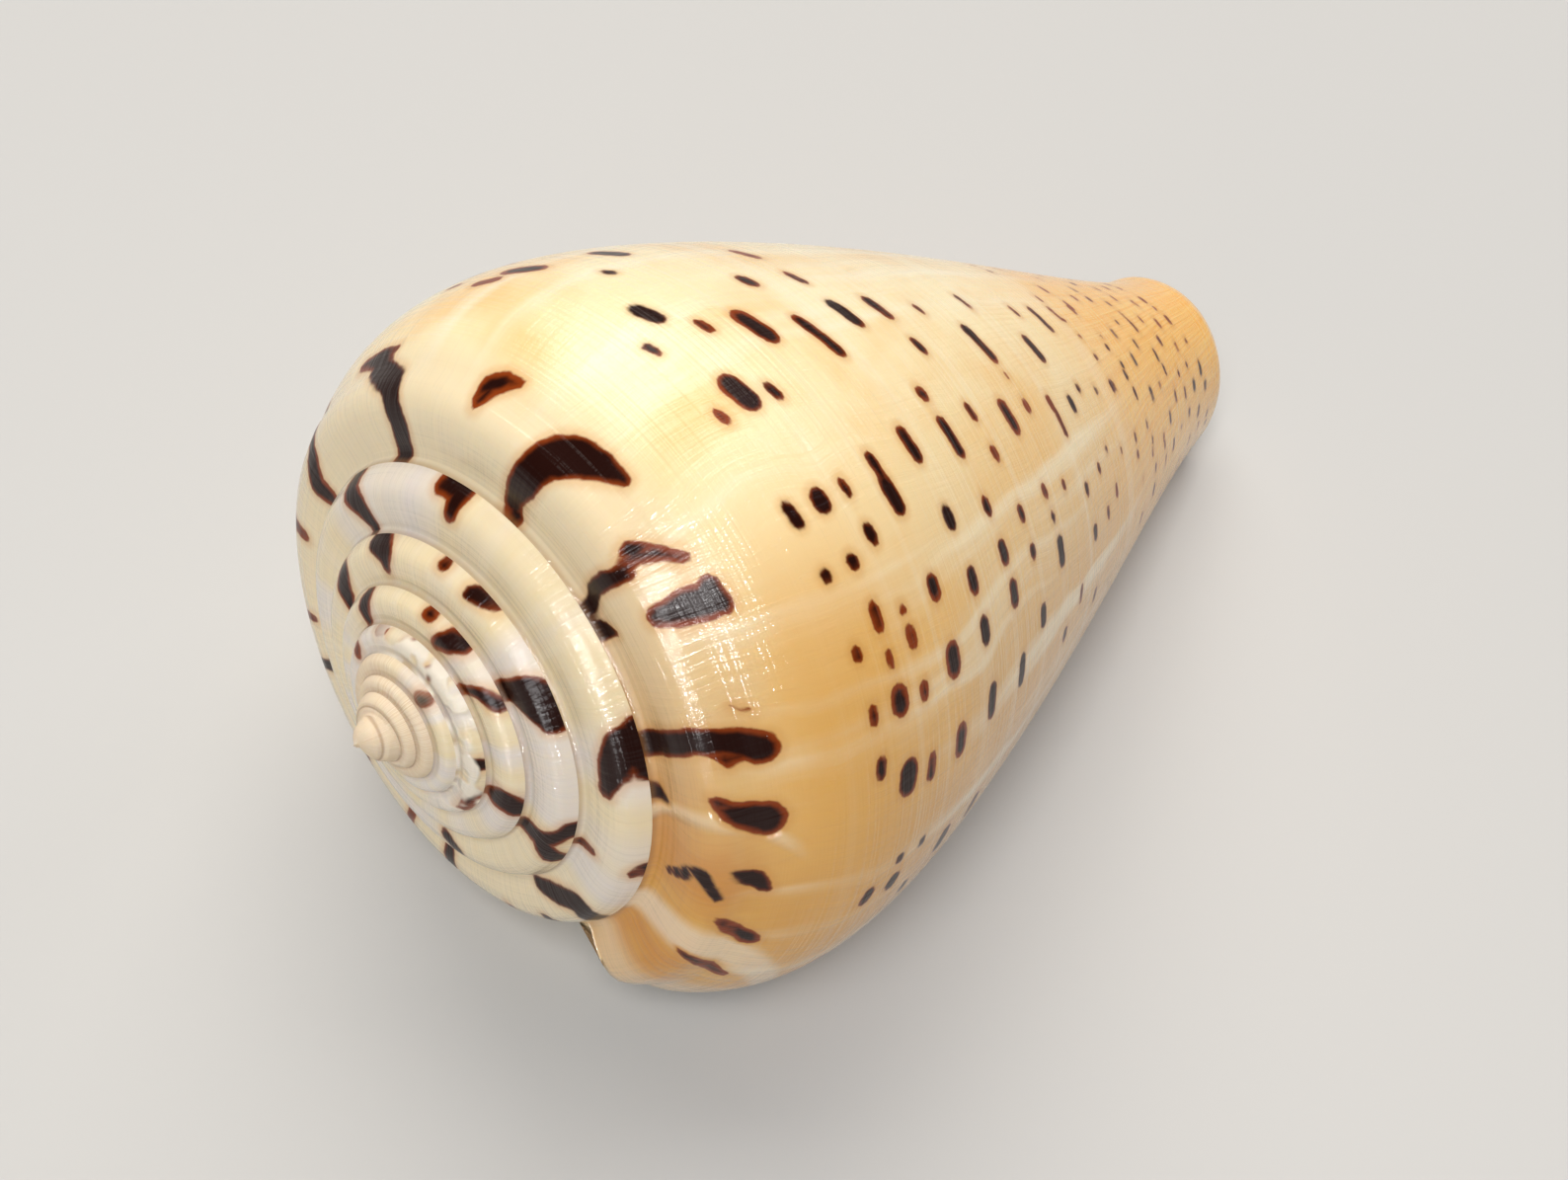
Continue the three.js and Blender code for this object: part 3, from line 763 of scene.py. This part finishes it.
def worn_and_shaded_colour(tree, at, colour):
    """Dull bare oldest whorls, a dark line of painted shade along every suture, and pale lumps on one eroded
    whorl.
    """
    at["worn"] = add(tree, RANGE, SMOOTH, (at["growth"], *WORN))
    lines = add(tree, RANGE, SMOOTH, (at["fine"], *WORN_LINES))
    bare = add(tree, MIX, COLOURS, (lines, linear("#D9BD9A"), linear("#F0E0C8")))
    share = add(tree, MATH, TIMES, (at["worn"], WORN_SHARE))
    colour = add(tree, MIX, COLOURS, (share, colour, bare))

    # Painted shade: the ramps darken towards each suture, where the step from the whorl before lies in shade.
    turns = add(tree, MATH, TIMES_PLUS, (at["growth"], 1 / 360, -1.0))
    suture = add(tree, MATH, TO_POWER, (WHORL_GAIN, turns))
    suture = add(tree, MATH, TIMES, (suture, SUTURE_RADIUS))
    gap = add(tree, MATH, MINUS, (at["radius"], suture))
    gap = add(tree, MATH, UNSIGNED, (gap,))
    narrow = add(tree, MATH, TIMES_PLUS, (suture, CREVICE_WIDTH, LEAST_CREVICE))
    narrow = add(tree, MATH, SMALLER, (narrow, WIDEST_CREVICE))
    at["nearness"] = add(tree, MATH, OVER, (gap, narrow))
    at["on ramp"] = add(tree, MATH, BELOW, (at["across"], 0.0))
    suture_shade = add(tree, RANGE, SMOOTH, (at["nearness"], *SUTURE_SHADE))
    suture_shade = add(tree, MATH, TIMES, (suture_shade, at["on ramp"]))
    colour = add(tree, MIX, COLOURS, (suture_shade, colour, linear("#8A5E38")))

    eroded = add(tree, RANGE, SMOOTH, (at["growth"], *ERODED_FROM))
    eroded = add(tree, MATH, TIMES, (eroded, add(tree, RANGE, SMOOTH, (at["growth"], *ERODED_TO))))
    lumpy = add(tree, NOISE, {}, {"Vector": at["place"], "Scale": 1 / LUMP, "Detail": 1.0})
    lumpy = add(tree, RANGE, SMOOTH, (lumpy, *LUMPY))
    at["lumps"] = add(tree, MATH, TIMES, (eroded, lumpy))
    return add(tree, MIX, COLOURS, (at["lumps"], colour, linear("#EADFCD")))


def banded_colour(tree, at, colour):
    """A healed break across the ramp, a pale band before the lip, and the lip's own pale rim."""
    bend = add(tree, MATH, TIMES, (at["across"], at["across"]))
    bend = add(tree, MATH, TIMES_PLUS, (at["across"], BEND, bend))
    bend = add(tree, MATH, TIMES, (bend, BEND_SHARE))
    free = add(tree, MATH, ABOVE, (at["growth"], LAST_WHORL))
    free = add(tree, MATH, TIMES, (free, add(tree, RANGE, SMOOTH, (at["edge"], *BESIDE_MARKS))))
    spans = []
    for before_lip, width in ((SCAR_GROWTH, SCAR_WIDTH), (BAND_GROWTH, BAND_WIDTH)):
        apart = add(tree, MATH, PLUS, (at["growth"], before_lip))
        apart = add(tree, MATH, MINUS, (apart, bend))
        apart = add(tree, MATH, UNSIGNED, (apart,))
        spans.append(add(tree, RANGE, SMOOTH, (apart, *width)))
    spans.append(add(tree, RANGE, SMOOTH, (at["growth"], *LIP_GROWTH)))
    bands = []
    for span, reach, strength, tint in ((spans[0], SCAR_REACH, SCAR_SHARE, "#F5E2BE"),
                                        (spans[1], BAND_REACH, BAND_SHARE, "#F4E8D0"),
                                        (spans[2], LIP_REACH, LIP_SHARE, "#F2E2BE")):
        band = add(tree, MATH, TIMES, (span, add(tree, RANGE, SMOOTH, (at["across"], *reach))))
        bands.append(add(tree, MATH, TIMES, (band, free)))
        share = add(tree, MATH, TIMES, (bands[-1], strength))
        colour = add(tree, MIX, COLOURS, (share, colour, linear(tint)))
    at["scar"] = bands[0]
    return colour


def relief_normals(tree, at):
    """Growth lines about half a millimetre apart and finer spiral scratches, for the shell and its glaze."""
    relief = add(tree, MATH, TIMES_PLUS, (at["threads"], SCRATCH_HEIGHT, at["fine"]))
    relief = add(tree, MATH, TIMES_PLUS, (at["broad"], BAND_HEIGHT, relief))
    relief = add(tree, MATH, TIMES_PLUS, (at["lumps"], LUMP_HEIGHT, relief))
    relief = add(tree, MATH, TIMES_PLUS, (at["scar"], SCAR_HEIGHT, relief))
    ledge = add(tree, RANGE, SMOOTH, (at["nearness"], *LEDGE))
    relief = add(tree, MATH, TIMES_PLUS, (ledge, at["on ramp"], relief))
    scratched = add(tree, MATH, TIMES_PLUS, (at["threads"], GLAZE_SCRATCHES, relief))
    normal = add(tree, "ShaderNodeBump", {},
                 {"Strength": SHELL_STRENGTH, "Distance": SHELL_DEPTH * MM, "Height": relief})
    glints = add(tree, "ShaderNodeBump", {},
                 {"Strength": GLAZE_STRENGTH, "Distance": GLAZE_DEPTH * MM, "Height": scratched})
    return normal, glints


def polished_shell():
    """The glossy outside with its colours, marks and fine relief. The inside is a plain warm white."""
    material = bpy.data.materials.new("polished_shell")
    material.use_nodes = True
    tree = material.node_tree
    surface = tree.nodes["Principled BSDF"]
    at = shell_fields(tree)
    colour = unmarked_colour(tree, at)
    colour = marked_colour(tree, at, colour)
    colour = worn_and_shaded_colour(tree, at, colour)
    colour = banded_colour(tree, at, colour)
    inside = add(tree, MATH, BELOW, (at["radius"], 0.0))
    colour = add(tree, MIX, COLOURS, (inside, colour, linear("#F1ECE2")))
    normal, glints = relief_normals(tree, at)
    glaze = add(tree, RANGE, SMOOTH, (at["worn"], *GLAZE))
    glaze = add(tree, MATH, TIMES, (glaze, add(tree, RANGE, SMOOTH, (at["edge"], *GLAZE_ON_MARKS))))
    fed = {
        "Base Color": colour,
        "Normal": normal,
        "Coat Normal": glints,
        "Roughness": add(tree, RANGE, SMOOTH, (at["worn"], *ROUGHNESS)),
        "Coat Weight": glaze,
        "Subsurface Weight": add(tree, RANGE, SMOOTH, (at["edge"], *GLOW_FROM_WITHIN)),
    }
    for name, source in fed.items():
        tree.links.new(source, surface.inputs[name])
    surface.inputs["Coat Roughness"].default_value = 0.07
    surface.inputs["IOR"].default_value = 1.53
    surface.inputs["Specular IOR Level"].default_value = 0.1
    surface.inputs["Subsurface Radius"].default_value = (2.2 * MM, 1.4 * MM, 0.7 * MM)
    surface.inputs["Subsurface Scale"].default_value = 1.0
    return material


shell_sizes = {"Shell length": SHELL_LENGTH, "Suture radius": SUTURE_RADIUS, "Whorl gain": WHORL_GAIN,
               "Spire rise": SPIRE_RISE, "Apex rise": APEX_RISE, "Apex sharpness": APEX_SHARPNESS}
shell_mesh = grown_mesh(cone_shell_tree(shell_sizes, polished_shell()), shell_sizes, "cone_shell")
coil = corner_vectors(shell_mesh, "coil")
random = np.random.default_rng(7)
dashes = [dash(row, *one) for row, line in DASHES.items() for one in line]
distance = mark_distance(coil, list(BLOTS) + dashes + hidden_marks(random))
distance[face_spans(shell_mesh, coil[:, 0]) > SEAM_SPAN] = PLAIN_DISTANCE
shell_mesh.attributes.new("mark", "FLOAT", "CORNER").data.foreach_set("value", distance.astype(np.float32))
shell_mesh.shade_smooth()
shell = bpy.data.objects.new("cone_shell", shell_mesh)
bpy.context.scene.collection.objects.link(shell)
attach(shell, "root")
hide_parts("shell")


# The floor is plain and pale, and only carries the shell in the picture.
FLOOR_REACH = 3.0
floor_material = bpy.data.materials.new("pale_floor")
floor_material.use_nodes = True
floor_surface = floor_material.node_tree.nodes["Principled BSDF"]
floor_surface.inputs["Base Color"].default_value = linear("#BFBEBC")
floor_surface.inputs["Roughness"].default_value = 0.8
floor_mesh = bpy.data.meshes.new("floor")
corners = [(x * FLOOR_REACH, y * FLOOR_REACH, 0) for x, y in ((-1, -1), (1, -1), (1, 1), (-1, 1))]
floor_mesh.from_pydata(corners, [], [(0, 1, 2, 3)])
floor_mesh.materials.append(floor_material)
floor = bpy.data.objects.new("floor", floor_mesh)
bpy.context.scene.collection.objects.link(floor)


# A broad soft key light comes from behind the shell, as in the photograph. A tall window behind the
# camera gives the glints on the ramps and the shoulder, and a fill there gives light without glints.
def soft_light(name, azimuth, elevation, distance, width, height, power, colour, roll=0.0):
    """An area light that faces the shell from a direction in degrees, rolled about that direction."""
    data = bpy.data.lights.new(name, "AREA")
    data.shape = "RECTANGLE"
    data.size = width
    data.size_y = height
    data.energy = power
    data.color = linear(colour)[:3]
    level = math.cos(math.radians(elevation))
    towards = Vector((level * math.cos(math.radians(azimuth)), level * math.sin(math.radians(azimuth)),
                      math.sin(math.radians(elevation))))
    light = bpy.data.objects.new(name, data)
    light.location = towards * distance
    light.rotation_mode = "QUATERNION"
    facing = (-towards).to_track_quat("-Z", "Y")
    light.rotation_quaternion = facing @ Quaternion((0, 0, 1), math.radians(-roll))
    bpy.context.scene.collection.objects.link(light)
    return light


soft_light("key", 52, 56, 1.5, 1.3, 1.3, 20.5, "#FFF9F0")
window = soft_light("window", -150, 34, 0.7, 0.03, 0.85, 7.5, "#FFFFFF", 14)
window.visible_diffuse = False
fill = soft_light("fill", -150, 62, 1.1, 0.5, 0.5, 9.3, "#FFFFFF")
fill.visible_glossy = False
soft_light("side", -5, 40, 0.9, 0.3, 0.15, 0.6, "#F2F5FF")
world = bpy.data.worlds.new("studio")
world.use_nodes = True
background = world.node_tree.nodes["Background"]
background.inputs["Color"].default_value = linear("#F4F6FA")
background.inputs["Strength"].default_value = 0.08
bpy.context.scene.world = world
bpy.context.scene.view_settings.view_transform = "Standard"


# The camera looks down on the shell from the side of its spire, as the photograph does, with the frame
# tilted a little. Its place is counted from the middle of the shell's box.
CAMERA_RIGHT = Vector((0.7277, -0.6806, 0.0845))
CAMERA_DOWN = Vector((-0.5288, -0.6352, -0.5629))
CAMERA_FORWARD = Vector((0.4368, 0.3650, -0.8222))
CAMERA_PLACE = Vector((-84.5, -65.3, 159.3)) * MM
camera_data = bpy.data.cameras.new("camera")
camera_data.sensor_width = 36
camera_data.lens = 46.85
camera_data.clip_start = 0.005
camera = bpy.data.objects.new("camera", camera_data)
turn = Matrix((CAMERA_RIGHT, -CAMERA_DOWN, -CAMERA_FORWARD)).transposed()
camera.matrix_world = Matrix.Translation(CAMERA_PLACE) @ turn.to_4x4()
bpy.context.scene.collection.objects.link(camera)
bpy.context.scene.camera = camera
